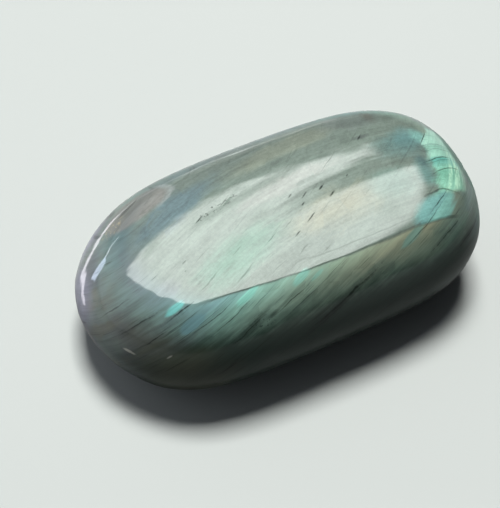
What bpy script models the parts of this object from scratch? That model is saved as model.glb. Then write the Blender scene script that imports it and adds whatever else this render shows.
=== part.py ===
"""A palm stone of labradorite: one pebble, an egg by nature, ground by hand
into broad soft faces and polished all over, with a small flat ground on its
underside so that it lies still.

Metres, +Z up, +X along the stone. The origin is under the stone's middle,
on the surface that it lies on.
"""

import bmesh
import bpy
import numpy as np

# Driving dimensions: the stone's size as it lies.
LENGTH = 0.056
WIDTH = 0.030
HEIGHT = 0.022

# How much of the underside is ground away to leave the flat base.
BASE_CUT = 0.0004

# The pebble before grinding: how much larger than the stone it is, and how
# full its shoulders are (2 is a plain ellipsoid, larger is boxier).
EGG_SCALE = 1.06
EGG_FULLNESS = 2.5

# How sharp the ridges between the ground faces are: 2 would melt them into
# the egg, 30 would leave knife-edged facets.
RIDGE_SHARPNESS = 9.0

# The broad faces that the grinding left. Each is named after its place, with
# the direction it faces in degrees (azimuth from +X towards +Y, elevation
# above the horizon), and how far from the middle it lies, as a share of the
# reach that an ellipsoid of the stone's size has in that direction.
GROUND_FACES = {
    "top": (-90, 84, 1.00),
    "bottom": (0, -90, 1.00),
    "front_upper": (-90, 38, 1.05),
    "front_side": (-88, 0, 0.98),
    "front_lower": (-88, -45, 0.98),
    "back_upper": (95, 50, 1.09),
    "back_side": (90, 0, 0.99),
    "back_lower": (90, -45, 1.05),
    "right_end": (-5, 5, 0.92),
    "right_front": (-45, 5, 1.07),
    "right_back": (50, 8, 1.09),
    "right_upper": (0, 52, 1.09),
    "right_lower": (0, -45, 1.04),
    "right_front_lower": (-40, -40, 1.11),
    "left_end": (180, 8, 0.98),
    "left_front": (-135, 5, 1.04),
    "left_back": (132, 8, 1.10),
    "left_upper": (155, 48, 0.98),
    "left_lower": (180, -45, 1.05),
    "left_front_upper": (-140, 42, 0.99),
    "left_front_lower": (-140, -40, 1.13),
}

# The mesh that carries the shape, and the polished stone's plain finish.
ICOSPHERE_STEPS = 5
SMOOTH_UP_TO = np.radians(30)
STONE_COLOUR = (0.12, 0.16, 0.14, 1.0)
STONE_ROUGHNESS = 0.12


def clear_scene():
    """Remove every object, so that the script can be run again."""
    for thing in list(bpy.data.objects):
        bpy.data.objects.remove(thing, do_unlink=True)


def face_normals():
    """The unit direction that each ground face looks in, one row each."""
    azimuth, elevation, _ = np.radians(np.array(list(GROUND_FACES.values()))).T
    return np.column_stack([
        np.cos(azimuth) * np.cos(elevation),
        np.sin(azimuth) * np.cos(elevation),
        np.sin(elevation),
    ])


def face_distances(normals, half_size):
    """How far each ground face lies from the middle: its share times the
    ellipsoid's reach, the root of the summed squares of half-size times
    direction."""
    shares = np.array([share for _, _, share in GROUND_FACES.values()])
    return shares * np.linalg.norm(normals * half_size, axis=1)


def ground_surface(points):
    """Each point moved along its ray from the middle onto the stone.

    A point's level in a face is its distance along the face's normal over the
    face's own distance, and its level in the egg is the root, by the egg's
    fullness, of the summed powers of place over half-size. The stone's
    surface is where these levels, where above zero, raised to the ridge
    sharpness and summed, make one. Near a face one level rules and the
    surface is almost flat; between faces they blend into a rounded ridge.
    """
    half_size = np.array([LENGTH, WIDTH, HEIGHT]) / 2
    normals = face_normals()
    in_faces = points @ normals.T / face_distances(normals, half_size)
    in_egg = np.sum(np.abs(points / (half_size * EGG_SCALE)) ** EGG_FULLNESS, axis=1)
    in_egg = in_egg ** (1 / EGG_FULLNESS)
    levels = np.column_stack([np.maximum(in_faces, 0.0), in_egg])
    level = np.sum(levels ** RIDGE_SHARPNESS, axis=1) ** (1 / RIDGE_SHARPNESS)
    return points / level[:, np.newaxis]


def fitted_to_size(points):
    """The points stretched along each axis until their box is the stone's,
    with the part that the base cut takes away hanging below z = 0."""
    size = np.array([LENGTH, WIDTH, HEIGHT + BASE_CUT])
    lowest = points.min(axis=0)
    highest = points.max(axis=0)
    corner = np.array([-LENGTH / 2, -WIDTH / 2, -BASE_CUT])
    return (points - lowest) / (highest - lowest) * size + corner


def grind_base(bm):
    """Cut the stone off flat at z = 0 and close the cut with one face."""
    bmesh.ops.bisect_plane(
        bm,
        geom=bm.verts[:] + bm.edges[:] + bm.faces[:],
        plane_co=(0.0, 0.0, 0.0),
        plane_no=(0.0, 0.0, -1.0),
        clear_outer=True,
    )
    rim = [edge for edge in bm.edges if edge.is_boundary]
    bmesh.ops.contextual_create(bm, geom=rim)
    bmesh.ops.recalc_face_normals(bm, faces=bm.faces[:])


def stone_material():
    """Dark grey-green polished stone."""
    material = bpy.data.materials.new("polished_labradorite")
    material.use_nodes = True
    shader = material.node_tree.nodes["Principled BSDF"]
    shader.inputs["Base Color"].default_value = STONE_COLOUR
    shader.inputs["Roughness"].default_value = STONE_ROUGHNESS
    shader.inputs["Metallic"].default_value = 0.0
    return material


def make_stone():
    """The whole stone: an icosphere stretched to the egg's proportions, its
    points moved onto the ground surface, cut flat underneath."""
    bm = bmesh.new()
    bmesh.ops.create_icosphere(bm, subdivisions=ICOSPHERE_STEPS, radius=1.0)
    ball = np.array([vert.co for vert in bm.verts])
    egg = ball * np.array([LENGTH, WIDTH, HEIGHT]) / 2
    places = fitted_to_size(ground_surface(egg))
    for vert, place in zip(bm.verts, places):
        vert.co = place
    grind_base(bm)
    mesh = bpy.data.meshes.new("stone")
    bm.to_mesh(mesh)
    bm.free()
    mesh.shade_smooth()
    mesh.set_sharp_from_angle(angle=SMOOTH_UP_TO)
    mesh.materials.append(stone_material())
    stone = bpy.data.objects.new("stone", mesh)
    bpy.context.scene.collection.objects.link(stone)
    return stone


clear_scene()
make_stone()
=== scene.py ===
# %% [markdown]
# # A polished palm stone of labradorite
#
# This lesson dresses one piece: a pebble of labradorite, a dark feldspar,
# ground into broad soft faces and polished until it mirrors the light above
# it. Inside, the crystal is stacked in thin parallel sheets. They show as fine
# streaks, as cracks that all run one way, and as the patches of teal and green
# that flash under a lamp.
#
# The solid of the stone is loaded as a fixed frame. Everything below is worked
# out in metres in that frame, and millimetres are used only inside the
# material, where the numbers are easier to read.

import math

import bmesh
import bpy
import numpy as np
from mathutils import Matrix, Vector


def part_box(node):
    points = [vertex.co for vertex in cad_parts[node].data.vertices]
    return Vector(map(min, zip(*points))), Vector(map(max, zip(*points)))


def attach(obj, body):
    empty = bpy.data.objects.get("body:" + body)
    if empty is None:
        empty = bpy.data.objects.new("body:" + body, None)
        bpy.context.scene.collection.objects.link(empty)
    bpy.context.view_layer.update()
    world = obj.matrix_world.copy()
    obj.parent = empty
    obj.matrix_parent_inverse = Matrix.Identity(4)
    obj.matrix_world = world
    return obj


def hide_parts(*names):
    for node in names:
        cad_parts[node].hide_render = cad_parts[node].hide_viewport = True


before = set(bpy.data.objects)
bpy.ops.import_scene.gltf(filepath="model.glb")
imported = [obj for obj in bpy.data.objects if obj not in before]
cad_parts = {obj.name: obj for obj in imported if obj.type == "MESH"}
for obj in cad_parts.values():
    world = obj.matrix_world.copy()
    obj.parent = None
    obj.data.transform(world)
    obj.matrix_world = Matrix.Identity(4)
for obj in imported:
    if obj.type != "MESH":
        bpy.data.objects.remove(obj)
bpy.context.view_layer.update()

MM = 0.001
low_corner, high_corner = (np.array(corner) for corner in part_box("stone"))
STONE_SIZE = high_corner - low_corner
print("stone in the frame, mm:", np.round(STONE_SIZE / MM, 2))

# %% [markdown]
# ## The ground shape
#
# A real palm stone starts as a tumbled pebble. A worker then holds it to a
# wheel, and each pass leaves one broad, almost flat face. Where two faces
# meet, the polishing pad rounds the ridge.
#
# Sculpting this by hand would be slow and hard to repeat. A formula does it
# instead: every face is a plane with a direction and a distance, and one
# exponent decides how sharply the planes meet. The solid in the frame was made
# with the same faces, so the fine mesh lies exactly on it.

# %% Faces of the stone
BASE_CUT = 0.4 * MM
EGG_SCALE = 1.06
EGG_FULLNESS = 2.5
RIDGE_SHARPNESS = 9.0

# Direction in degrees (azimuth from +X, elevation), then the distance from
# the middle as a share of an ellipsoid's reach in that direction. The
# directions were chosen, and a program fitted the shares to the real stone's
# outline and mirrored light. They are rounded to two places.
GROUND_FACES = {
    "top": (-90, 84, 1.00),
    "bottom": (0, -90, 1.00),
    "front_upper": (-90, 38, 1.05),
    "front_side": (-88, 0, 0.98),
    "front_lower": (-88, -45, 0.98),
    "back_upper": (95, 50, 1.09),
    "back_side": (90, 0, 0.99),
    "back_lower": (90, -45, 1.05),
    "right_end": (-5, 5, 0.92),
    "right_front": (-45, 5, 1.07),
    "right_back": (50, 8, 1.09),
    "right_upper": (0, 52, 1.09),
    "right_lower": (0, -45, 1.04),
    "right_front_lower": (-40, -40, 1.11),
    "left_end": (180, 8, 0.98),
    "left_front": (-135, 5, 1.04),
    "left_back": (132, 8, 1.10),
    "left_upper": (155, 48, 0.98),
    "left_lower": (180, -45, 1.05),
    "left_front_upper": (-140, 42, 0.99),
    "left_front_lower": (-140, -40, 1.13),
}


def direction(azimuth, elevation):
    """Unit vector for an azimuth from +X and an elevation, in degrees."""
    turn, lift = np.radians(azimuth), np.radians(elevation)
    return np.stack([np.cos(turn) * np.cos(lift), np.sin(turn) * np.cos(lift), np.sin(lift)], -1)


azimuths, elevations, shares = np.array(list(GROUND_FACES.values())).T
face_normals = direction(azimuths, elevations)
face_distances = shares * np.linalg.norm(face_normals * STONE_SIZE / 2, axis=1)
print("ground faces:", len(face_distances))

# %% Points on the ground surface


def on_ground_surface(points):
    """Moves each point along its ray from the middle onto the stone.

    Formula: in each face a point's level is its distance along the normal over
    the face's distance, and in the egg it is the root of the summed powers of
    place over half-size. All levels above zero are raised to the ridge
    sharpness and summed. Dividing the point by that sum's root puts it where
    the sum is one, which is the surface.
    """
    in_faces = np.maximum(points @ face_normals.T / face_distances, 0.0)
    in_egg = np.sum(np.abs(points / (STONE_SIZE / 2 * EGG_SCALE)) ** EGG_FULLNESS, axis=1)
    levels = np.column_stack([in_faces, in_egg ** (1 / EGG_FULLNESS)])
    level = np.sum(levels ** RIDGE_SHARPNESS, axis=1) ** (1 / RIDGE_SHARPNESS)
    return points / level[:, np.newaxis]


def fitted_to_frame(points):
    """Stretches the points along each axis until their box is the frame's,
    with the part that the flat base cuts away hanging below it."""
    lowest, highest = points.min(axis=0), points.max(axis=0)
    cut = np.array([0.0, 0.0, BASE_CUT])
    return (points - lowest) / (highest - lowest) * (STONE_SIZE + cut) + low_corner - cut


# %% [markdown]
# ## A mesh without poles
#
# A sphere made of rings has two poles where the triangles bunch up, and a
# mirror finish shows them as a pinch. So the stone is wrapped in six square
# sheets, like a die blown up into a ball. Each sheet is a grid of two angles,
# and neighbouring sheets share their edges exactly, so merging doubles closes
# the seams.

# %% Six sheets around the stone
SHEET_STEPS = 126


def die_sheet(axis, side):
    """One face of the die as unit vectors: one coordinate is the side, the
    other two are the tangents of two angles from -45 to 45 degrees."""
    tangent = np.tan(np.linspace(-math.pi / 4, math.pi / 4, SHEET_STEPS + 1))
    across, along = np.meshgrid(tangent, tangent, indexing="ij")
    corner = np.empty(across.shape + (3,))
    corner[..., axis] = side
    corner[..., (axis + 1) % 3] = across * side
    corner[..., (axis + 2) % 3] = along
    return (corner / np.linalg.norm(corner, axis=-1, keepdims=True)).reshape(-1, 3)


def sheet_quads():
    """The four corner numbers of every square in one sheet."""
    number = np.arange((SHEET_STEPS + 1) ** 2).reshape(SHEET_STEPS + 1, -1)
    corners = [number[:-1, :-1], number[1:, :-1], number[1:, 1:], number[:-1, 1:]]
    return np.stack(corners, axis=-1).reshape(-1, 4)


sheets = [die_sheet(axis, side) for axis in range(3) for side in (1, -1)]
ball = np.concatenate(sheets)
quads = np.concatenate([sheet_quads() + index * len(sheets[0]) for index in range(6)])
smooth_stone = fitted_to_frame(on_ground_surface(ball * STONE_SIZE / 2))
print("quads:", len(quads), "so triangles:", 2 * len(quads))

# %% [markdown]
# ## Relief that the wheel left
#
# A mirror finish shows what the hand can't feel. Three kinds of relief are
# real geometry here, not bump: long shallow waves from the polishing wheel,
# one ground ridge that runs along the front of the top, and small breaks
# where cleavage flakes fell out.
#
# The waves are sines in random directions, drawn from a seeded generator so
# that every run gives the same stone. Most run along it, as the wheel did.

# %% Waves, ridge and breaks
WAVE_COUNT = 18
WAVE_HEIGHT = 5e-3 * MM
WAVE_SEED = 11

# The ridge in millimetres: along X its ends and the middle of its curve, its
# place in Y there, how much it bows, and how far to the right it still bows.
# Then how high it stands and how fast it falls off to both sides.
RIDGE_ENDS = (-15.0, 16.0)
RIDGE_MIDDLE = 3.0
RIDGE_PLACE = -9.75
RIDGE_BOW = 0.0038
RIDGE_REACH = 11.0
RIDGE_HEIGHT = 0.05 * MM
RIDGE_WIDTH = 1.0 * MM

# Breaks: centre, then reach along the crack, across it and down, then depth.
BREAKS = [
    ((-11.5, 1.8, 21.6), (1.3, 0.35, 1.5), 0.1),
    ((-7.6, 2.6, 21.8), (1.6, 0.35, 1.5), 0.1),
    ((-9, -12.8, 17.3), (1.3, 0.6, 1.2), 0.16),
    ((13.3, 5.2, 21.6), (0.9, 0.3, 1), 0.08),
    ((5.8, -1.6, 21.8), (0.7, 0.3, 1), 0.06),
]


def polishing_waves(points):
    """Sum of sines: height times the sine of place along a random direction
    over a random wavelength. Waves are 2 to 9 mm long across the stone and
    four times that along it."""
    rng = np.random.default_rng(WAVE_SEED)
    lengths = rng.uniform(2.0, 9.0, WAVE_COUNT) * MM
    heading = rng.normal(size=(WAVE_COUNT, 3)) * np.array([0.25, 1.0, 1.0])
    phase = rng.uniform(0, 2 * math.pi, WAVE_COUNT)
    waves = np.sin(2 * math.pi * points @ (heading / lengths[:, np.newaxis]).T + phase)
    return WAVE_HEIGHT * (waves * (lengths / lengths.mean())).sum(axis=1)


def ground_ridge(points):
    """A crest with a sharp top: height times e to the minus distance over
    width, faded out beyond its ends and on the lower half. Its place in Y is a
    parabola over X that runs straight on at the right."""
    x, y, z = points.T / MM
    beyond = np.maximum(np.maximum(RIDGE_ENDS[0] - x, x - RIDGE_ENDS[1]), 0.0)
    fade = np.exp(-(beyond / 2) ** 2) * (z > STONE_SIZE[2] / MM / 2)
    crest = RIDGE_PLACE + np.minimum(x - RIDGE_MIDDLE, RIDGE_REACH) ** 2 * RIDGE_BOW
    crest += 0.10 * np.sin(x / 3.1) + 0.05 * np.sin(x / 1.3 + 1)
    return RIDGE_HEIGHT * fade * np.exp(-np.abs(y - crest) * MM / RIDGE_WIDTH)


def flaked_breaks(points, trace):
    """Dents: minus depth times e to the minus squared distance, measured in
    reaches along the trace of the cleavage, across it and down."""
    across = np.cross([0.0, 0.0, 1.0], trace)
    dents = np.zeros(len(points))
    for centre, reach, depth in BREAKS:
        offset = points / MM - np.array(centre)
        parts = np.stack([offset @ trace, offset @ across, offset[:, 2]], axis=1)
        dents -= depth * MM * np.exp(-((parts / np.array(reach)) ** 2).sum(axis=1))
    return dents


# %% [markdown]
# ## The crystal's directions
#
# Labradorite splits along flat planes. Every crack and streak in this stone
# follows one set of them, so the planes' direction is worked out once. It
# faces up and to the back left. Where such a plane cuts the top it leaves a
# line, called the trace here, and the third direction runs down inside it.
# A second, weaker set of planes stands nearly square to the first.

# %% Cleavage planes
SHEET_NORMAL = direction(124.0, 41.0)
TRACE = direction(34.0, 0.0)
DIP = np.cross(SHEET_NORMAL, TRACE)
SECOND_NORMAL = direction(-63.0, 41.5)
print("angle between the two cleavages:",
      round(math.degrees(math.acos(SHEET_NORMAL @ SECOND_NORMAL)), 1))

# %% Build the stone
middle = (low_corner + high_corner) / 2
rays = smooth_stone - middle
rays /= np.linalg.norm(rays, axis=1, keepdims=True)
relief = polishing_waves(smooth_stone) + ground_ridge(smooth_stone)
relief += flaked_breaks(smooth_stone, TRACE)
stone_points = smooth_stone + rays * relief[:, np.newaxis]
stone_points[:, 2] = np.maximum(stone_points[:, 2], low_corner[2])
print("relief, mm:", np.round([relief.min() / MM, relief.max() / MM], 3))


def closed_mesh(name, points, quads):
    """A mesh from arrays, with doubled edges merged, faces out and smooth."""
    mesh = bpy.data.meshes.new(name)
    mesh.from_pydata(points.tolist(), [], quads.tolist())
    bm = bmesh.new()
    bm.from_mesh(mesh)
    bmesh.ops.remove_doubles(bm, verts=bm.verts, dist=MM / 1000)
    bmesh.ops.recalc_face_normals(bm, faces=bm.faces)
    open_edges = sum(not edge.is_manifold for edge in bm.edges)
    bm.to_mesh(mesh)
    bm.free()
    mesh.shade_smooth()
    print(name, "vertices:", len(mesh.vertices), "open edges:", open_edges)
    return mesh


def put(name, data):
    """A new object at the origin that shows a mesh, light or camera."""
    made = bpy.data.objects.new(name, data)
    bpy.context.scene.collection.objects.link(made)
    return made


stone = put("labradorite_stone", closed_mesh("labradorite_stone", stone_points, quads))

# %% [markdown]
# ## Sums on shader sockets
#
# A material in Blender is a graph of nodes. Drawn by hand, a sum such as
# 1 - mask * 0.5 takes three nodes and four cables. Here a small class wraps a
# socket, so that the same sum is written as Python and the nodes appear by
# themselves. Colours and vectors go through Mix and Vector Math, because a
# Math node would turn them grey.

# %% Wire and workbench


def math_node(operation, mirrored=False):
    """Makes a method that adds one Math node for an operation on a wire and
    another wire or number. Mirrored puts the other one first."""
    def method(wire, other=0.0):
        first, second = (other, wire) if mirrored else (wire, other)
        return wire.bench.node("ShaderNodeMath", {"operation": operation}, {0: first, 1: second})
    return method


class Wire:
    """An output socket that Python's operators work on."""

    def __init__(self, bench, socket):
        self.bench = bench
        self.socket = socket

    __add__ = __radd__ = math_node("ADD")
    __sub__ = math_node("SUBTRACT")
    __rsub__ = math_node("SUBTRACT", mirrored=True)
    __mul__ = __rmul__ = math_node("MULTIPLY")
    __truediv__ = math_node("DIVIDE")
    __abs__ = math_node("ABSOLUTE")
    at_least = math_node("MAXIMUM")

    def rising(self, low, high):
        """0 below low, 1 above high, with a smooth rise between."""
        return self.bench.node(
            "ShaderNodeMapRange", {"interpolation_type": "SMOOTHSTEP"},
            {"Value": self, "From Min": low, "From Max": high})


def set_stops(ramp, stops):
    """Puts a list of places from 0 to 1 and their colours into a ramp."""
    while len(ramp.elements) < len(stops):
        ramp.elements.new(1.0)
    for element, (at, colour) in zip(ramp.elements, stops):
        element.position = at
        element.color = colour


class Workbench:
    """The emptied node tree of a material, a light or a world, and the one
    method that adds a node to it."""

    def __init__(self, owner):
        owner.use_nodes = True
        self.tree = owner.node_tree
        self.tree.nodes.clear()

    def node(self, kind, settings=None, values=None, output=0):
        """Adds a node: its settings first, then a value or wire for each
        socket. Returns the wire of the output that is asked for."""
        made = self.tree.nodes.new(kind)
        for name, setting in (settings or {}).items():
            if name == "stops":
                set_stops(made.color_ramp, setting)
            else:
                setattr(made, name, setting)
        for name, value in (values or {}).items():
            if isinstance(value, Wire):
                self.tree.links.new(value.socket, made.inputs[name])
            else:
                made.inputs[name].default_value = value
        return Wire(self, made.outputs[output]) if len(made.outputs) else None

    def vector(self, operation, first, second, output=0):
        """One Vector Math node."""
        settings = {"operation": operation}
        return self.node("ShaderNodeVectorMath", settings, {0: first, 1: second}, output)

    def blend(self, amount, first, second, how="MIX"):
        """Mixes two colours: amount 0 gives the first, 1 the second."""
        settings = {"data_type": "RGBA", "blend_type": how}
        return self.node("ShaderNodeMix", settings, {0: amount, 6: first, 7: second}, output=2)

    def noise(self, place, stretch, detail=2.0, roughness=0.5, output=0):
        """Noise with features of about one over the stretch along each axis."""
        stretched = self.vector("MULTIPLY", place, stretch)
        values = {"Vector": stretched, "Scale": 1.0, "Detail": detail, "Roughness": roughness}
        return self.node("ShaderNodeTexNoise", {}, values, output)

    def inside(self, place, centre, reach):
        """How deep a place lies in an ellipsoid: 1 in its centre, 0 on its
        skin, below 0 outside. Formula: 1 minus the length of offset over
        reach."""
        centre, reach = np.array(centre, float), np.array(reach, float)
        settings = {"operation": "MULTIPLY_ADD"}
        values = {0: place, 1: tuple(1 / reach), 2: tuple(-centre / reach)}
        offset = self.node("ShaderNodeVectorMath", settings, values)
        return 1 - self.vector("LENGTH", offset, (0, 0, 0), output=1)


def rgb(red, green, blue):
    """A colour with full alpha, as sockets want it."""
    return (red, green, blue, 1.0)


# %% [markdown]
# ## Coordinates inside the stone
#
# The pattern must run through the stone, not lie on it like paper, so it is
# worked out in solid coordinates. The object's own coordinates are turned to
# millimetres, bent a little by slow noise because no crystal grows perfectly
# straight, and turned to the crystal's directions: first across the sheets,
# then along the trace, then down the dip.

# %% Solid coordinates
polished_labradorite = bpy.data.materials.new("polished_labradorite")
bench = Workbench(polished_labradorite)
blend = bench.blend
metres = bench.node("ShaderNodeTexCoord", output=3)
place = bench.vector("MULTIPLY", metres, (1 / MM, 1 / MM, 1 / MM))

BEND_SIZE = 0.12
BEND_REACH = 0.5
bend = bench.noise(place, (BEND_SIZE,) * 3, detail=3.0, output=1)
bend = bench.vector("SUBTRACT", bend, (0.5, 0.5, 0.5))
bent = bench.node("ShaderNodeVectorMath", {"operation": "MULTIPLY_ADD"},
                  {0: bend, 1: (BEND_REACH,) * 3, 2: place})


def along_direction(way):
    """How far a bent place lies along a direction."""
    return bench.vector("DOT_PRODUCT", bent, tuple(way), output=1)


def axes(first, second=0.0, third=0.0):
    """Three wires joined into one place."""
    return bench.node("ShaderNodeCombineXYZ", {}, {0: first, 1: second, 2: third})


across_sheets = along_direction(SHEET_NORMAL)
along_trace = along_direction(TRACE)
down_dip = along_direction(DIP)
across_second = along_direction(SECOND_NORMAL)
crystal = axes(across_sheets, along_trace, down_dip)
place_x, place_y, height = (
    bench.node("ShaderNodeSeparateXYZ", {}, {0: place}, output=axis) for axis in range(3))

# %% [markdown]
# ## Grain of the top
#
# Under the broad flat top the layers are met at a low angle, so they show as
# wide, soft grain along the stone. The grain bows a little: its place across
# the stone has a small square of its place along the stone added.

# %% Grain coordinates
GRAIN_AZIMUTH = 6.5
GRAIN_BOW = 0.006
GRAIN_MIDDLE = 5.0
along_grain = along_direction(direction(GRAIN_AZIMUTH, 0.0))
grain_offset = along_grain - GRAIN_MIDDLE
across_grain = along_direction(direction(GRAIN_AZIMUTH + 90.0, 0.0))
across_grain = across_grain + grain_offset * grain_offset * GRAIN_BOW
grain_place = axes(along_grain, across_grain, height)

# %% [markdown]
# ## Noise for sheets and grain
#
# Every streak in the stone is noise stretched along one of its directions: it
# changes fast across the sheets and hardly at all along them.

# %% Noises
clouds = bench.noise(place, (0.12, 0.16, 0.16), detail=3.0)
small_clouds = bench.noise(bent, (0.45, 0.45, 0.45), detail=3.0)
wide_sheets = bench.noise(crystal, (0.50, 0.06, 0.06), detail=2.0)
sheets_noise = bench.noise(crystal, (1.5, 0.09, 0.09), detail=3.0, roughness=0.6)
fine_sheets = bench.noise(crystal, (5.5, 0.28, 0.28), detail=3.0, roughness=0.6)
wide_grain = bench.noise(grain_place, (0.06, 0.75, 0.3), detail=3.0, roughness=0.55)
fine_grain = bench.noise(grain_place, (0.18, 3.6, 1.2), detail=3.0, roughness=0.65)


def crystal_blocks(stretch):
    """A random number from 0 to 1 for each block between the partings. Blocks
    are about one over the stretch long in each of the crystal's directions."""
    block_place = bench.vector("MULTIPLY", crystal, stretch)
    values = {"Vector": block_place, "Scale": 1.0}
    block_colour = bench.node("ShaderNodeTexVoronoi", {}, values, output=1)
    return bench.node("ShaderNodeSeparateColor", {}, {0: block_colour})


blocks = crystal_blocks((0.62, 0.26, 0.16))
small_blocks = crystal_blocks((1.5, 0.5, 0.4))

# %% [markdown]
# ## The body of the stone
#
# Without its flashes labradorite is a dark grey-green to slate stone, clouded
# with brown. Its front is almost black, with olive at the left and green at
# the right. Round the left end and along the back rim at the left it is paler:
# a lilac there is a painted reflection of the bright floor that the rim mirrors.

# %% Body colour
PALE_BODY = rgb(0.066, 0.080, 0.075)
SLATE_BODY = rgb(0.053, 0.057, 0.065)
BROWN_BODY = rgb(0.068, 0.060, 0.048)
DARK_BODY = rgb(0.007, 0.013, 0.010)
GREEN_BODY = rgb(0.032, 0.060, 0.050)
# A lilac for the painted reflection round the left and back rim.
LILAC_RIM_REFLECTION = rgb(0.108, 0.104, 0.142)
OLIVE_BODY = rgb(0.020, 0.022, 0.015)


def soft_mask(space, centre, reach, edge, ragged=0.0, noise=None):
    """1 in the middle of an ellipsoid and 0 outside, with a soft edge. Centre
    and reach are in millimetres. Noise moves the edge in and out."""
    depth = bench.inside(space, centre, reach)
    if noise is not None:
        depth = depth + (noise - 0.5) * ragged
    return depth.rising(0.0, edge)


body = blend(clouds.rising(0.38, 0.62), SLATE_BODY, PALE_BODY)
brown = (wide_sheets * 0.6 + small_clouds * 0.4).rising(0.50, 0.60) * 0.5
body = blend(brown, body, BROWN_BODY)
front = soft_mask(bent, (0, -24, 1), (46, 28.6, 29.6), 0.28, 0.25, wide_sheets)
lower_left = soft_mask(bent, (-19, -13, 9), (9, 8, 8), 0.8, 0.6, wide_sheets)
front_body = blend(lower_left, DARK_BODY, OLIVE_BODY)
body = blend(front, body, front_body)
olive_left = soft_mask(bent, (-22.8, -6.8, 15.2), (8.0, 8.5, 7.0), 0.9, 0.4, wide_sheets)
body = blend(olive_left * 0.75, body, OLIVE_BODY)
green_right = soft_mask(bent, (25.8, -6.0, 14.0), (5.8, 9.5, 7.0), 0.8, 0.3, small_clouds)
body = blend(green_right * 0.85, body, GREEN_BODY)
# Painted reflection: lilac round the left and back rim, where the polish mirrors the bright floor.
left_rim_reflection = soft_mask(bent, (-28, 4.5, 11), (3.5, 7, 7), 0.6)
back_rim_reflection = soft_mask(bent, (-24, 11, 11), (7.5, 4.6, 5.8), 0.6)
body = blend(left_rim_reflection.at_least(back_rim_reflection) * 0.8, body, LILAC_RIM_REFLECTION)

# %% [markdown]
# ## The flash
#
# Light that enters labradorite meets a stack of layers thinner than its own
# wavelength and comes back in one pure colour. It reads as a soft metallic
# glow under the polish. The colour stays the same along a sheet and changes
# from sheet to sheet, so on the sides it is a ramp over the place across them.

# %% Flash on the sides
# Place across the sheets in millimetres, then the colour there.
SIDE_FLASH = [
    (-20.8, (0.02, 0.05, 0.055)),
    (-13.6, (0.03, 0.075, 0.05)),
    (-7.6, (0.026, 0.048, 0.038)),
    (-2.8, (0.052, 0.069, 0.05)),
    (0.1, (0.096, 0.1, 0.07)),
    (2.7, (0.124, 0.132, 0.094)),
    (5.6, (0.112, 0.146, 0.112)),
    (8.2, (0.112, 0.164, 0.134)),
    (10.9, (0.098, 0.176, 0.152)),
    (12.8, (0.074, 0.126, 0.13)),
    (15.2, (0.064, 0.112, 0.11)),
    (17.6, (0.058, 0.084, 0.09)),
    (21.2, (0.055, 0.066, 0.07)),
    (27.2, (0.04, 0.085, 0.085)),
]


def colour_ramp(value, stops):
    """A ramp over millimetres: each stop is a place and a colour."""
    first, last = stops[0][0], stops[-1][0]
    share = (value - first) / (last - first)
    placed = [((at - first) / (last - first), rgb(*colour)) for at, colour in stops]
    return bench.node("ShaderNodeValToRGB", {"stops": placed}, {"Fac": share})


side_place = across_sheets + (small_clouds - 0.5) * 1.5 + (blocks - 0.5) * 0.8
side_colour = colour_ramp(side_place, SIDE_FLASH)
# The flash fades in with a ragged height, and its lower part is greener.
SIDE_RISE = (15.2, 20.1)
LOW_RISE = (17.2, 19.6)
SIDE_LOW = rgb(0.084, 0.142, 0.120)
SIDE_SLOPE = 0.028
side_height = height - place_x * SIDE_SLOPE + (sheets_noise - 0.5) * 1.8 + (small_clouds - 0.5) * 1.7
side_flash = side_height.rising(*SIDE_RISE)
side_colour = blend(0.55 * (1 - side_height.rising(*LOW_RISE)), side_colour, SIDE_LOW)
block_light = 0.70 + blocks * 0.22 + small_blocks * 0.22 + height.rising(18.8, 20.4) * 0.16
glow = blend(side_flash * block_light, body, side_colour)
LOW_OLIVE = rgb(0.072, 0.090, 0.068)
low_olive = soft_mask(bent, (13.0, -11.4, 17.9), (6.0, 2.3, 2.6), 0.9, 0.6, sheets_noise)
glow = blend(low_olive * 0.6, glow, LOW_OLIVE)
# Wide faint flashes lie deeper, all over the back and the right end.
deep_noise = bench.noise(crystal, (0.30, 0.09, 0.09), detail=2.0)
deep_flash = deep_noise.rising(0.56, 0.68) * place_y.rising(-9.0, -2.0) * 0.8
deep_flash = deep_flash * place_x.rising(-25.0, -17.0)
glow = blend(deep_flash * (1 - side_flash), glow, side_colour)

# %% [markdown]
# The top is paler and its colours are wide and soft: lilac grey at the left,
# mint, cream and then teal. They are ellipsoids laid in one after another,
# with their edges drawn out along the grain.

# %% Colours of the top
TOP_BASE = rgb(0.060, 0.074, 0.064)
# Centre and reach along the grain, across it and in height, then colour,
# strength and softness of the edge.
TOP_PATCHES = [
    ((-9, -2.5, 21), (9, 3.6, 4), (0.042, 0.082, 0.062), 0.8, 0.7),
    ((4.5, -4.3, 21), (9, 3.6, 4), (0.084, 0.08, 0.054), 0.8, 0.9),
    ((14, -4, 21), (5, 3, 4), (0.05, 0.074, 0.064), 0.8, 0.7),
    ((-21, -0.5, 20), (4, 3, 4), (0.068, 0.07, 0.08), 0.7, 0.7),
    ((1, 2, 22), (10, 1.4, 3), (0.09, 0.09, 0.083), 0.6, 0.6),
    ((19, 1, 21), (6, 3.2, 3), (0.042, 0.072, 0.07), 0.7, 0.8),
    ((-13, 8, 20), (11, 2.8, 4), (0.044, 0.064, 0.07), 0.9, 0.6),
    ((4, 7.6, 21), (12, 2.2, 4), (0.079, 0.087, 0.068), 0.7, 0.6),
    ((15, 8, 20), (6, 3, 4), (0.057, 0.067, 0.062), 0.8, 0.6),
]
patch_noise = wide_grain * 0.35 + sheets_noise * 0.30 + blocks * 0.20 + small_clouds * 0.15
top_colour = TOP_BASE
for centre, reach, colour, strength, edge in TOP_PATCHES:
    mask = soft_mask(grain_place, centre, reach, edge, 1.4, patch_noise) * strength
    top_colour = blend(mask, top_colour, rgb(*colour))

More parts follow.
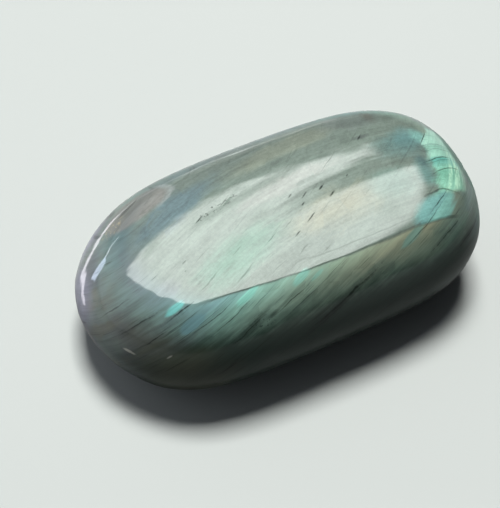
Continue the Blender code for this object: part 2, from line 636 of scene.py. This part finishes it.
# The front ridge of the top follows the same curve as the ground one.
ridge_offset = RIDGE_REACH - (RIDGE_MIDDLE + RIDGE_REACH - place_x).at_least(0.0)
ridge_distance = place_y - ridge_offset * ridge_offset * RIDGE_BOW - RIDGE_PLACE
ridge_distance = ridge_distance + 0.15 + (small_clouds - 0.5) * 0.3
top_share = height.rising(18.6, 20.2) * ridge_distance.rising(-0.35, 0.15)
glow = blend(top_share, glow, top_colour)

# %% [markdown]
# ## Flash at the right end
#
# The brightest flash sits on the shoulder of the right end. It runs down the
# slope in a band, and cracks of the second set of planes cut it into steps of
# different colour, from mint to yellow-green to teal.

# %% Steps of the right end
# Place across the second planes in millimetres, then the colour there.
END_FLASH = [
    (16.5, (0.05, 0.09, 0.085)),
    (17.6, (0.17, 0.285, 0.235)),
    (19.5, (0.16, 0.265, 0.22)),
    (19.8, (0.115, 0.21, 0.17)),
    (20.9, (0.135, 0.24, 0.195)),
    (21.3, (0.065, 0.185, 0.16)),
    (22.3, (0.105, 0.22, 0.17)),
    (22.6, (0.082, 0.19, 0.142)),
    (23.9, (0.102, 0.205, 0.155)),
    (25.2, (0.105, 0.2, 0.16)),
    (26.5, (0.03, 0.06, 0.055)),
]
# The band's upper and lower edge across the sheets at its start, how fast each
# falls further down, and the place across the second planes where that begins.
END_EDGES = (8.75, 4.6)
END_FALL = (0.78, 0.50)
END_BEND = 19.4
END_NORMAL = direction(122.0, 48.0)
across_end = along_direction(END_NORMAL) + (fine_sheets - 0.5) * 0.5
# Where along the second planes the band fades in and out. It ends at a plane
# that leans a little more than the others.
END_START = (16.4, 17.6)
END_STOP = (24.1, 24.5)
LAST_LEAN = 0.30
LAST_PLACE = 24.3
last_place = across_second + across_sheets * LAST_LEAN
end_colour = colour_ramp(across_second, END_FLASH)
fallen = (across_second - END_BEND).at_least(0.0)
upper_depth = END_EDGES[0] - fallen * END_FALL[0] - across_end + (small_clouds - 0.5) * 1.2
lower_depth = across_end - END_EDGES[1] + fallen * END_FALL[1]
end_flash = upper_depth.rising(-0.2, 0.5) * lower_depth.rising(-0.9, 0.9)
end_flash = end_flash * across_second.rising(*END_START) * (1 - across_second.rising(*END_STOP))
end_flash = end_flash * (1 - last_place.rising(LAST_PLACE, LAST_PLACE + 0.3))
end_flash = end_flash * place_x.rising(13.0, 15.0)

# Darker and bluer stone beside the flash: centre, reach, colour and strength.
END_SHADES = [
    ((19, -3, 20.7), (2.1, 3.2, 2), (0.05, 0.096, 0.09), 0.75),
    ((19.4, -0.9, 20.8), (1.2, 1.8, 2), (0.032, 0.056, 0.057), 0.7),
    ((19.4, 3.4, 20.6), (4.2, 2.4, 2.6), (0.042, 0.088, 0.09), 0.6),
    ((21, 3.3, 20.2), (1.6, 1.8, 1.8), (0.085, 0.165, 0.148), 0.7),
    ((16.6, 9, 20.2), (1.2, 2.8, 2), (0.04, 0.037, 0.032), 0.6),
    ((13.4, 5.2, 21.5), (1.9, 0.55, 1.2), (0.03, 0.034, 0.034), 0.6),
]
for centre, reach, colour, strength in END_SHADES:
    shade = soft_mask(bent, centre, reach, 0.9, 0.8, small_clouds) * strength
    glow = blend(shade, glow, rgb(*colour))

# Fine golden sheets that stand upright in the lower steps, in broken lines.
# They are made bright enough to be painted highlights there as well.
upright = along_direction(END_NORMAL + 0.4 * SECOND_NORMAL)
upright_place = axes(upright - 0.45, across_second * 0.06)
upright_noise = bench.noise(upright_place, (3.6, 1.0, 1.0), detail=1.0)
gold_lines_and_glints = upright_noise.rising(0.46, 0.62) * across_second.rising(19.4, 21.5)
gold_lines_and_glints = gold_lines_and_glints * (1 - upright.rising(13.6, 14.4))
broken = bench.noise(crystal, (2.0, 1.0, 1.0), detail=3.0).rising(0.40, 0.58) * 0.65 + 0.35
gold_lines_and_glints = gold_lines_and_glints * broken
GOLD_LINE_AND_GLINT = rgb(0.225, 0.350, 0.262)
end_colour = blend(gold_lines_and_glints * 0.75, end_colour, GOLD_LINE_AND_GLINT)
glow = blend(end_flash, glow, end_colour)

# Painted shade at the rim of the end, where the stone turns down: the flash
# dies away and a dark green is laid over it.
end_rim_shade = soft_mask(bent, (26.8, 1.0, 15.8), (3.7, 9.0, 3.7), 0.30)
glow = blend(end_rim_shade * 0.8, glow, GREEN_BODY)

# %% [markdown]
# ## Sharp flecks
#
# A few flecks are cut off sharply where one sheet ends, and flash brighter
# than their surroundings. They are ellipsoids in the crystal's own directions.

# %% Flecks
TURQUOISE = (0.070, 0.200, 0.190)
MINT = (0.098, 0.215, 0.182)
# Centre and reach across the sheets, along the trace and down the dip, then
# colour and strength.
FLECKS = [
    ((15.3, -19.57, -11.24), (0.55, 1.7, 2.2), TURQUOISE, 1),
    ((10.9, -14, -16.49), (0.5, 2.2, 1.6), MINT, 1),
    ((7.86, -8.15, -19.6), (0.6, 2, 1.2), MINT, 0.65),
    ((6.62, -6.7, -20.39), (0.35, 1.4, 1.2), MINT, 0.5),
    ((0.93, 4.75, -25.13), (0.75, 3, 1.3), (0.07, 0.125, 0.105), 0.8),
    ((12.77, -19.86, -12.23), (0.9, 2.3, 2.2), (0.055, 0.105, 0.115), 0.8),
]
fleck_noise = sheets_noise * 0.6 + bench.noise(crystal, (2.4, 0.5, 0.5), detail=3.0) * 0.4
flecks = None
for centre, reach, colour, strength in FLECKS:
    mask = soft_mask(crystal, centre, reach, 0.45, 1.1, fleck_noise) * strength
    glow = blend(mask, glow, rgb(*colour))
    flecks = mask if flecks is None else flecks.at_least(mask)

# The largest fleck lies under the flash and ends at the front ridge. It turns
# from green to teal across the sheets.
PATCH_GREEN = rgb(0.074, 0.162, 0.144)
PATCH_TEAL = rgb(0.062, 0.134, 0.128)
teal_patch = soft_mask(crystal, (0.7, 10.0, -25.8), (2.8, 5.0, 2.6), 0.4, 1.0, fleck_noise)
teal_patch = teal_patch * ridge_distance.rising(-0.15, 0.15) * 0.85
teal_patch = teal_patch * last_place.rising(LAST_PLACE - 0.1, LAST_PLACE + 0.2)
patch_colour = blend(across_sheets.rising(0.1, 0.9), PATCH_GREEN, PATCH_TEAL)
glow = blend(teal_patch, glow, patch_colour)

# %% [markdown]
# At the upper left a cloud of brown-grey stone comes close to the surface. It
# has a pale rim and a few golden specks.

# %% Brown cloud with a pale rim
CLOUD_BROWN = rgb(0.092, 0.086, 0.080)
RIM_GREY = rgb(0.135, 0.145, 0.145)
SPECK_GOLD = rgb(0.185, 0.155, 0.105)
# A pale warm white for the two painted highlights low on the left.
GLINT_WHITE = rgb(0.150, 0.145, 0.130)
cloud_depth = bench.inside(bent, (-17.3, 8.3, 18.4), (6.3, 3.1, 3.5)) + (small_clouds - 0.5) * 0.3
glow = blend(cloud_depth.rising(0.0, 0.25) * 0.8, glow, CLOUD_BROWN)
pale_rim = cloud_depth.rising(-0.06, 0.04) * (1 - cloud_depth.rising(0.06, 0.22))
glow = blend(pale_rim * place_x.rising(-16.0, -13.0) * 0.55, glow, RIM_GREY)
speckle = bench.noise(bent, (2.4, 1.6, 1.6), detail=4.0, roughness=0.7).rising(0.50, 0.68)
gold_specks = soft_mask(bent, (-20.6, 7.6, 17.2), (3.2, 1.7, 2.0), 0.6) * speckle
glow = blend(gold_specks * 0.8, glow, SPECK_GOLD)

# Two painted highlights low on the left, pale and warm: a broad one and a
# thin slanted one.
broad_glint = soft_mask(bent, (-24.8, -7.2, 12.3), (1.1, 1.3, 0.28), 0.5, 0.8, small_clouds)
thin_glint = soft_mask(crystal, (10.95, -23.3, -8.4), (0.15, 0.4, 0.75), 0.6)
glow = blend((broad_glint * 0.8).at_least(thin_glint * 0.5), glow, GLINT_WHITE)

# %% [markdown]
# ## Cracks
#
# Where a sheet has parted there is a crack: a flat, penny-shaped gap that
# catches no light and so looks black. Each is a very thin ellipsoid in the
# crystal's directions, so its line bends over the stone as a real one does.
# The big ones have a soft dark halo of painted shade beside them.

# %% Cracks placed one by one
# Centre and reach: across the sheets, along the trace, down the dip. Then
# how dark the crack is. The cracks, ticks and flecks were picked one by one,
# and a program turned their places on the stone to these directions.
CRACKS = [
    ((1.5, -5.9, -20.5), (0.24, 9, 6.5), 0.95),
    ((0.5, 7.6, -25.3), (0.12, 6.5, 2.6), 0.75),
    ((0.91, 11.44, -25.61), (0.12, 3.6, 2), 0.9),
    ((1.03, -7.9, -18.56), (0.1, 7, 4), 0.7),
    ((6.71, -10.46, -18.69), (0.11, 4.6, 3.2), 0.85),
    ((5.53, -9.3, -19.08), (0.09, 6, 3.5), 0.65),
    ((19, -22, -4), (0.1, 2.8, 4.4), 0.55),
    ((16.3, -22.2, -6.8), (0.11, 3.2, 4.6), 0.8),
    ((13.85, -22.9, -7.9), (0.11, 2.8, 3.6), 0.8),
    ((14.6, -19.3, -11.7), (0.13, 3.2, 3.2), 0.9),
    ((12.05, -21.1, -11.1), (0.09, 2.6, 3.2), 0.5),
    ((11.7, -18.32, -14.06), (0.1, 5.5, 4.5), 0.8),
    ((10.24, -16.58, -14.93), (0.1, 4.4, 4.4), 0.75),
    ((9.4, -13.3, -17.2), (0.08, 2.6, 1.8), 0.5),
    ((7.5, -16.3, -15.6), (0.11, 4.2, 3.4), 0.8),
    ((-2.51, 8.54, -26.12), (0.11, 4.2, 3), 0.9),
    ((-5.36, 11.27, -25.84), (0.13, 4.6, 3.4), 0.9),
    ((5.68, 19.67, -21.37), (0.13, 2.8, 2), 1),
    ((13.1, 7.94, -17.74), (0.07, 3.2, 1.5), 0.55),
]
# Painted shade: soft dark halos beside the big cracks, in the same columns.
CRACK_SHADE_HALOS = [
    ((1.4, -5.9, -20.5), (1, 9, 6.5), 0.35),
    ((14.45, -20.6, -10.4), (0.7, 4.5, 5), 0.3),
    ((16.3, -22.2, -6.8), (0.6, 3.2, 4.2), 0.25),
    ((7.5, -16.3, -15.6), (0.8, 3.8, 3), 0.35),
    ((-2.51, 8.54, -26.12), (0.6, 4, 2.8), 0.35),
    ((-5.36, 11.27, -25.84), (0.7, 4.4, 3.2), 0.35),
]
# Cracks of the second set: across it, across the sheets, along the trace.
CROSS_CRACKS = [
    ((19.55, 4.27, 19.62), (0.08, 2.8, 4.5), 0.55),
    ((20.15, 3.42, 19.59), (0.07, 2.8, 4.5), 0.5),
    ((21.15, 3, 17.4), (0.11, 3, 5), 0.9),
    ((21.45, 2.6, 17.4), (0.07, 2.4, 4.5), 0.5),
    ((22.4, 1.64, 16.49), (0.1, 2.8, 5), 0.85),
    ((18.4, 4.94, 21.66), (0.05, 1.6, 4), 0.4),
]
LAST_CRACKS = [((LAST_PLACE, 0.9, 12.4), (0.07, 3.6, 4.6), 0.75)]
# Long fine partings in the pale top.
FINE_CRACKS = [
    ((15, -14.9, -14), (0.13, 3.6, 1.4), 0.5),
    ((12.7, -11.9, -16.3), (0.12, 2.8, 1.2), 0.5),
    ((14.94, -9.9, -15.3), (0.1, 1.3, 1.2), 0.4),
    ((12.7, -3.1, -17.6), (0.09, 1.5, 1.2), 0.45),
    ((7.8, -3.3, -20.7), (0.1, 1.3, 1.2), 0.45),
    ((9.64, -5.1, -19.4), (0.1, 1.4, 1.2), 0.45),
    ((10.4, -8.6, -18.4), (0.09, 2.2, 1.2), 0.35),
    ((17.4, -12.6, -12.6), (0.1, 2.4, 1.2), 0.35),
    ((17.1, -5.5, -14.6), (0.09, 2.6, 1.2), 0.3),
]
# Short open ticks on the top, where the polish has broken out.
TICKS = [
    ((19.98, -8.54, -11.29), (0.09, 1.1, 1.2), 0.9),
    ((19.13, -4.69, -12.5), (0.09, 1.2, 1.2), 0.7),
    ((13.04, -5.95, -17.16), (0.06, 1.8, 1.5), 0.7),
    ((11.19, -0.74, -18.99), (0.09, 1.3, 1.2), 1),
    ((19.22, -17.72, -9.35), (0.05, 0.9, 1), 0.7),
    ((11.82, 14, -18.34), (0.16, 0.9, 1.2), 1),
    ((12.14, 3.9, -18.52), (0.14, 0.85, 1.2), 1),
    ((10.81, 3.94, -19.47), (0.17, 0.75, 1), 1),
    ((13.12, 1.64, -17.57), (0.1, 0.75, 1), 1),
    ((14.27, 0.5, -16.58), (0.1, 0.6, 1), 0.9),
    ((11.25, -3.83, -18.61), (0.08, 0.8, 1), 0.9),
    ((12.66, 0.38, -17.84), (0.12, 0.45, 1), 0.9),
    ((10.72, 7.44, -19.55), (0.12, 0.35, 1), 0.8),
    ((18.23, -14.4, -11.83), (0.07, 0.5, 1), 0.9),
    ((17.5, -15.33, -12.22), (0.08, 0.25, 1), 0.8),
]
# How far a crack wanders from its plane, and how ragged its edges are.
WIGGLE = 0.85
NIBBLE = 0.9
wiggle = (bench.noise(bent, (0.32, 0.32, 0.32), detail=2.0, roughness=0.45) - 0.5) * WIGGLE
crack_place = axes(across_sheets + wiggle, along_trace, down_dip)
cross_crack_place = axes(across_second + wiggle * 0.6, across_sheets, along_trace)
nibble = (bench.noise(crystal, (0.9, 1.6, 1.6), detail=3.0, roughness=0.65) - 0.5) * NIBBLE


def cut_cracks(space, cracks, shade=None):
    """The mask of a list of flat cracks, added to a mask already there."""
    for centre, reach, darkness in cracks:
        depth = bench.inside(space, centre, reach) + nibble
        crack = depth.rising(0.0, 0.9) * darkness
        shade = crack if shade is None else shade.at_least(crack)
    return shade


cracks = cut_cracks(crack_place, CRACKS + FINE_CRACKS)
cracks = cut_cracks(cross_crack_place, CROSS_CRACKS, cracks)
last_crack_place = axes(last_place + wiggle * 0.4, across_sheets, along_trace)
cracks = cut_cracks(last_crack_place, LAST_CRACKS, cracks)
ticks = cut_cracks(crystal, TICKS)
crack_shade_halos = cut_cracks(crack_place, CRACK_SHADE_HALOS)
print("cracks placed one by one:", len(CRACKS + CROSS_CRACKS + LAST_CRACKS + FINE_CRACKS + TICKS))

# %% [markdown]
# The whole crystal is full of smaller partings that nobody would place one by
# one. They come from noise stretched so flat that its peaks are hairlines
# along the sheets. A thin dark line at the foot of the ground ridge is painted
# shade, and fine pits lie where the polish broke out.

# %% Hairlines, painted ridge shade and pits
hairlines = bench.noise(crystal, (2.6, 0.12, 0.12), detail=2.0, roughness=0.7).rising(0.63, 0.71)
fine_hairlines = bench.noise(crystal, (7.0, 0.30, 0.30), detail=1.0).rising(0.66, 0.76)
side_lines = (hairlines * 0.5).at_least(fine_hairlines * 0.3) * (1 - top_share * 0.6)

# Painted shade: a thin dark line along the crease at the foot of the ridge.
RIDGE_SHADE_WIDTH = 0.13
RIDGE_SHADE_WIDENS = 0.16
ridge_width = RIDGE_SHADE_WIDTH + place_x.rising(7.0, 14.0) * RIDGE_SHADE_WIDENS
ridge_shade_line = 1 - abs(ridge_distance) / ridge_width
ridge_shade_line = ridge_shade_line.rising(0.0, 0.7) * height.rising(18.0, 18.8)
ridge_shade_line = ridge_shade_line * place_x.rising(-18.0, -12.0) * (1 - place_x.rising(19.0, 21.5))
ridge_shade_line = ridge_shade_line * (wide_grain.rising(0.35, 0.60) * 0.5 + 0.5)
# A fainter line of painted shade runs beside it on the right half of the top.
SECOND_SHADE_OFFSET = 1.2
second_ridge_shade = 1 - abs(ridge_distance - SECOND_SHADE_OFFSET + (wide_grain - 0.5) * 0.8) / RIDGE_SHADE_WIDTH
second_ridge_shade = second_ridge_shade.rising(0.0, 0.8) * place_x.rising(-4.0, 1.0)
second_ridge_shade = second_ridge_shade * (1 - place_x.rising(12.0, 15.0))
ridge_shade_line = ridge_shade_line.at_least(second_ridge_shade * height.rising(18.0, 18.8) * 0.45)

pit_noise = bench.noise(bent, (3.4, 3.4, 3.4), detail=2.0).rising(0.56, 0.68) * 0.8
pit_zone = soft_mask(grain_place, (-8.5, 4.3, 21.5), (4.5, 0.8, 3), 0.5)
pit_zone = pit_zone.at_least(soft_mask(bent, (-9.0, -12.8, 17.3), (2.0, 1.3, 1.5), 0.6))
pits = pit_noise * pit_zone
# A dark knot below the ridge, where partings cross.
crack_knot = soft_mask(crystal, (6.9, -13.6, -17.3), (0.5, 1.5, 1.2), 0.8, 1.2, small_clouds)
pits = pits.at_least(crack_knot * 0.7)
# Cracks, hairlines, ticks and pits, with the painted ridge shade.
dark_lines = cracks.at_least(side_lines).at_least(ridge_shade_line * 0.6).at_least(ticks).at_least(pits)

# %% [markdown]
# ## Mix the colours
#
# Streaks and cracks multiply the glow. On the sides the sheets give the
# streaks, on the top the grain does.

# %% Streaks over the glow
speckles = bench.noise(bent, (2.2, 2.2, 2.2), detail=4.0, roughness=0.7)
SHEET_CONTRAST = 0.75
FINE_SHEET_CONTRAST = 0.50
GRAIN_CONTRAST = 0.8
FINE_GRAIN_CONTRAST = 0.5
sheet_light = (sheets_noise - 0.5) * SHEET_CONTRAST + (fine_sheets - 0.5) * FINE_SHEET_CONTRAST
grain_light = (wide_grain - 0.5) * GRAIN_CONTRAST + (fine_grain - 0.5) * FINE_GRAIN_CONTRAST
grain_light = grain_light + (small_blocks - 0.5) * 0.14 + (speckles - 0.5) * 0.7
lightness = 1 + sheet_light * (1 - top_share * 0.65) + grain_light * top_share
# The halos darken it as painted shade.
lightness = lightness.at_least(0.15) * (1 - dark_lines * 0.85) * (1 - crack_shade_halos)
grey = bench.node("ShaderNodeCombineColor", {}, {0: lightness, 1: lightness, 2: lightness})
stone_colour = blend(1.0, glow, grey, how="MULTIPLY")

# %% [markdown]
# ## Polish
#
# The polish is a clear coat. It is a little duller along some layers of the
# top: in one wide band under the middle of the big reflection, in a thin
# streak behind it and in a few smudges. It is duller too low on the sides,
# where the wheel spent less time, and at the rim of the right end, under the
# painted shade there. A crack takes the coat away.

# %% Polish
POLISH = 0.66
# The wide dull band: its edges across the grain, and where along the grain it
# starts and is fully dull.
DULL_EDGES = (-2.8, -1.9, 0.1, 1.1)
DULL_ALONG = (-8.0, 11.0)
DULL_END = (12.0, 15.5)
polish_place = across_grain + (wide_grain - 0.5) * 1.6 + (fine_grain - 0.5) * 0.7
upper_place = polish_place + (1 - along_grain.rising(6.0, 12.0)) * 0.75
dull = polish_place.rising(*DULL_EDGES[:2]) * (1 - upper_place.rising(*DULL_EDGES[2:]))
dull = dull * along_grain.rising(*DULL_ALONG) * 0.95
beyond_dull = polish_place.rising(*DULL_EDGES[:2]) * along_grain.rising(*DULL_END)
dull = dull.at_least(beyond_dull)
# A thin dull streak further back, which holds the pits.
STREAK_PLACE = 3.4
STREAK_TURN = 0.06
STREAK_WIDTH = 0.9
thin_streak = 1 - abs(polish_place - STREAK_PLACE + along_grain * STREAK_TURN) / STREAK_WIDTH
thin_streak = thin_streak.rising(0.0, 0.8) * 0.5
thin_streak = thin_streak * along_grain.rising(-14.0, -10.0) * (1 - along_grain.rising(0.0, 6.0))
dull = dull.at_least(thin_streak)
# Faint smudges where the polish is a little duller: centre and reach along the
# grain, across it and in height, then how dull.
SMUDGES = [
    ((-4.4, -0.2, 21.8), (3, 1.5, 2), 0.24),
    ((11.5, -7.2, 21), (4, 2.4, 2), 0.16),
    ((-11.1, -3, 21), (2.4, 1.1, 2), 0.16),
    ((-8.8, -1.9, 21.4), (2.4, 1, 2), 0.18),
    ((12.2, 2.9, 21.5), (3.6, 1.4, 2.5), 0.8),
    ((-6.3, 5.9, 21.6), (3.4, 1.2, 2), 0.34),
    ((-18.2, 6, 20.3), (2.8, 0.9, 2), 0.36),
]
for centre, reach, dullness in SMUDGES:
    smudge = soft_mask(grain_place, centre, reach, 0.8, 0.9, wide_grain) * dullness
    dull = dull.at_least(smudge)
polish_grain = 1 + (fine_grain - 0.5) * 0.4 + (sheets_noise - 0.5) * 0.15 + (small_clouds - 0.5) * 0.35
polish_place_low = height + place_y * 0.3 - place_x.rising(10.0, 28.0) * 4.0
polish_low = 1 - (1 - polish_place_low.rising(8.5, 15.0)) * 0.86
coat = (1 - dull * top_share) * polish_grain * polish_low
coat = coat * (1 - dark_lines * 0.7) * (1 - ticks * 0.6) * (1 - end_rim_shade * 0.7) * POLISH

# %% [markdown]
# ## Put the finish together
#
# One Principled shader carries it all. Its base is the crystal: part metal
# where it flashes, because a flash is reflected light and not paint. Its coat
# is the polish, with labradorite's own refractive index.

# %% The finish
COAT_INDEX = 1.57
COAT_ROUGHNESS = 0.035
flash_amount = (side_flash * 0.6 * (1 - top_share)).at_least(top_share * 0.15)
flash_amount = flash_amount * (1 - end_rim_shade * 0.9)
flash_amount = flash_amount.at_least(end_flash * 0.3).at_least(flecks * 0.6)
stone_height = sheets_noise * 0.6 + fine_sheets * 0.4
bump = bench.node("ShaderNodeBump", {}, {"Strength": 0.35, "Distance": 0.02 * MM,
                                         "Height": stone_height})
skin = bench.node("ShaderNodeBsdfPrincipled", {}, {
    "Base Color": stone_colour,
    "Metallic": flash_amount,
    "Roughness": 0.44 + fine_sheets * 0.12,
    "Specular IOR Level": 0.05,
    "Specular Tint": rgb(0.5, 0.6, 0.6),
    "Coat Weight": coat,
    "Coat Roughness": COAT_ROUGHNESS,
    "Coat IOR": COAT_INDEX,
    "Normal": bump,
})
bench.node("ShaderNodeOutputMaterial", {}, {"Surface": skin})
stone.data.materials.append(polished_labradorite)

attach(stone, "root")
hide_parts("stone")
print("nodes in the finish:", len(bench.tree.nodes))

# %% [markdown]
# ## Floor, light and camera
#
# The floor is a plain pale sheet. One big soft window stands almost overhead
# and is only mirrored: it makes the long bright reflection on the top. A
# small strong lamp beside it is never mirrored: it lights the stone and casts
# its shadow.

# %% Floor
FLOOR_REACH = 3.0
floor_mesh = bpy.data.meshes.new("floor")
floor_corners = np.array([(-1, -1, 0), (1, -1, 0), (1, 1, 0), (-1, 1, 0)]) * FLOOR_REACH
floor_mesh.from_pydata(floor_corners.tolist(), [], [(0, 1, 2, 3)])
floor = put("floor", floor_mesh)

pale_floor = bpy.data.materials.new("pale_floor")
floor_bench = Workbench(pale_floor)
floor_skin = floor_bench.node("ShaderNodeBsdfPrincipled", {}, {
    "Base Color": rgb(0.225, 0.230, 0.226),
    "Roughness": 0.9,
    "Specular IOR Level": 0.0,
})
floor_bench.node("ShaderNodeOutputMaterial", {}, {"Surface": floor_skin})
floor_mesh.materials.append(pale_floor)

# %% Lights
STONE_MIDDLE = (0.0, 0.0, 11 * MM)


def soft_window(name, azimuth, elevation, distance, size, radiance,
                roll=0.0, colour=(1, 1, 1), aim=STONE_MIDDLE):
    """A rectangular light at an azimuth, elevation and distance from the place
    it aims at. Its power is pi times area times the radiance wanted of it."""
    light = bpy.data.lights.new(name, "AREA")
    light.shape = "RECTANGLE"
    light.size, light.size_y = size
    light.energy = radiance * math.pi * size[0] * size[1]
    light.color = colour
    lamp = put(name, light)
    towards = Vector(direction(azimuth, elevation))
    side = Vector((0, 0, 1)).cross(towards).normalized()
    pose = Matrix((side, towards.cross(side), towards)).transposed()
    pose = (pose @ Matrix.Rotation(math.radians(roll), 3, "Z")).to_4x4()
    pose.translation = Vector(aim) + towards * distance
    lamp.matrix_world = pose
    lamp.visible_camera = False
    return lamp


window = soft_window("overhead_window", 92.8, 78.0, 0.6, (1.60, 1.10), 9.5, roll=3.1,
                     colour=(0.95, 1.0, 0.96))
window.visible_diffuse = False

key = soft_window("overhead_key", 75.0, 80.0, 0.6, (0.17, 0.17), 128.0, colour=(0.97, 1.0, 0.97))
key.visible_glossy = False

# %% [markdown]
# Four narrow strips are there only for the polish to mirror. Two stand low
# behind the left end and give the bright comma on it, with its thin tail. Two
# lie on the floor and give the thin bright line inside the outline.

# %% Strips of light
COMMA_AIM = (-24 * MM, 3 * MM, 16 * MM)
COMMA_WAY = (130.5, 0.5)
COMMA_ROLL = -33.0
side_strip = soft_window("side_strip", *COMMA_WAY, 0.06, (0.024, 0.024), 9.0, roll=COMMA_ROLL,
                         colour=(0.68, 0.79, 1.0), aim=COMMA_AIM)
tail_strip = soft_window("tail_strip", *COMMA_WAY, 0.15, (0.10, 0.02), 7.0, roll=COMMA_ROLL,
                         colour=(0.85, 0.93, 1.0), aim=COMMA_AIM)
left_strip = soft_window("left_strip", -14.7, -88.0, 0.0, (0.100, 0.040), 4.9,
                         colour=(0.97, 0.93, 1.0), aim=(-34 * MM, 64 * MM, 1 * MM))
back_strip = soft_window("back_strip", -90.0, -88.0, 0.0, (0.105, 0.012), 1.7,
                         colour=(0.97, 0.97, 1.0), aim=(8 * MM, 90 * MM, 1 * MM))
for strip in (side_strip, tail_strip, left_strip, back_strip):
    strip.visible_diffuse = False

# %% [markdown]
# The big window is not a plain rectangle. It narrows towards the front, its
# left and front edges are crisp, its right edge is soft, and its back edge is
# bent. A light can have nodes of its own, so its shape is worked out there:
# each edge is a line across the light's face, beyond which the light fades.

# %% Shape of the lights


def shape_light(lamp, edges, bent_edge=()):
    """Fades a light beyond lines over its face. Each edge has a direction over
    the face, a distance from the middle in metres and half the width of its
    fade. Of the lines of a bent edge, the one that keeps most light counts."""
    shade = Workbench(lamp.data)
    face = shade.node("ShaderNodeNewGeometry", output=5)
    face_x = shade.node("ShaderNodeSeparateXYZ", {}, {0: face}, output=0)
    face_y = shade.node("ShaderNodeSeparateXYZ", {}, {0: face}, output=1)
    face_x = (face_x - 0.5) * lamp.data.size
    face_y = (face_y - 0.5) * lamp.data.size_y

    def kept(edge_x, edge_y, distance, softness):
        beyond = face_x * edge_x + face_y * edge_y - distance
        return 1 - beyond.rising(-softness, softness)

    light = kept(*edges[0])
    for edge in edges[1:]:
        light = light * kept(*edge)
    if bent_edge:
        first, second = bent_edge
        light = light * kept(*first).at_least(kept(*second))
    emission = shade.node("ShaderNodeEmission", {}, {"Strength": light})
    shade.node("ShaderNodeOutputLight", {}, {"Surface": emission})


WINDOW_EDGES = [
    (1, 0.17, 0.625, 0.03),
    (0.8, 0.6, 0.56, 0.02),
    (0, 1, 0.4, 0.03),
    (-0.84, 0.54, 0.44, 0.06),
    (-1, 0, 0.61, 0.08),
]
WINDOW_BACK_EDGE = [
    (-0.08, -1, 0.317, 0.05),
    (-0.4, -1, 0.23, 0.03),
]
COMMA_EDGES = [
    (0.4, 0.92, 0.0021, 0.0005),
    (-0.93, 0.36, 0.0064, 0.0005),
    (-0.36, -0.93, 0.0061, 0.0006),
    (0.98, -0.17, 0.0105, 0.001),
]
TAIL_EDGES = [
    (1, 0, -0.016, 0.002),
    (0.03, 1, -0.003, 0.001),
    (-0.16, -1, 0.0119, 0.001),
]
# The strip on the floor widens and fades with distance.
RIM_EDGES = [
    (0.16, 1, 0.001, 0.0018),
    (-0.26, -1, 0.0092, 0.0018),
    (1, 0, 0.04, 0.03),
]
shape_light(window, WINDOW_EDGES, WINDOW_BACK_EDGE)
shape_light(side_strip, COMMA_EDGES)
shape_light(tail_strip, TAIL_EDGES)
shape_light(left_strip, RIM_EDGES)

# %% [markdown]
# The room around is a soft sky, brightest behind the stone at the left.

# %% World
world = bpy.data.worlds.new("soft_room")
bpy.context.scene.world = world
room = Workbench(world)
room_direction = room.node("ShaderNodeTexCoord", output=0)
BRIGHT_SIDE = direction(140.0, 10.0)
side_share = room.vector("DOT_PRODUCT", room_direction, tuple(BRIGHT_SIDE), output=1)
SKY_BRIGHTEST = 1.1
SKY_DARKEST = 0.04
room_level = side_share.rising(-0.1, 0.95) * SKY_BRIGHTEST + SKY_DARKEST
sky = room.node("ShaderNodeBackground", {}, {"Color": rgb(0.86, 0.94, 1.0), "Strength": room_level})
room.node("ShaderNodeOutputWorld", {}, {"Surface": sky})

# %% [markdown]
# The camera stands in front of the stone, to its left and above it, and looks
# down at about 55 degrees. Its pose is three directions: to the right, down
# and forward in the picture. A program fitted them, and the camera's place,
# so they are not round numbers.

# %% Camera
FOCAL_PIXELS = 1314
IMAGE_HEIGHT = 508
SENSOR = 36.0
camera_data = bpy.data.cameras.new("camera")
camera_data.sensor_width = SENSOR
camera_data.lens = FOCAL_PIXELS / IMAGE_HEIGHT * SENSOR
camera = put("camera", camera_data)
to_right = Vector((0.90281, -0.42860, 0.03510))
to_down = Vector((-0.33538, -0.75283, -0.56637))
forward = Vector((0.26917, 0.49955, -0.82340))
camera_pose = Matrix((to_right, -to_down, -forward)).transposed().to_4x4()
camera_pose.translation = Vector((-0.05113, -0.08616, 0.15420))
camera.matrix_world = camera_pose
bpy.context.scene.camera = camera
bpy.context.scene.view_settings.view_transform = "Standard"
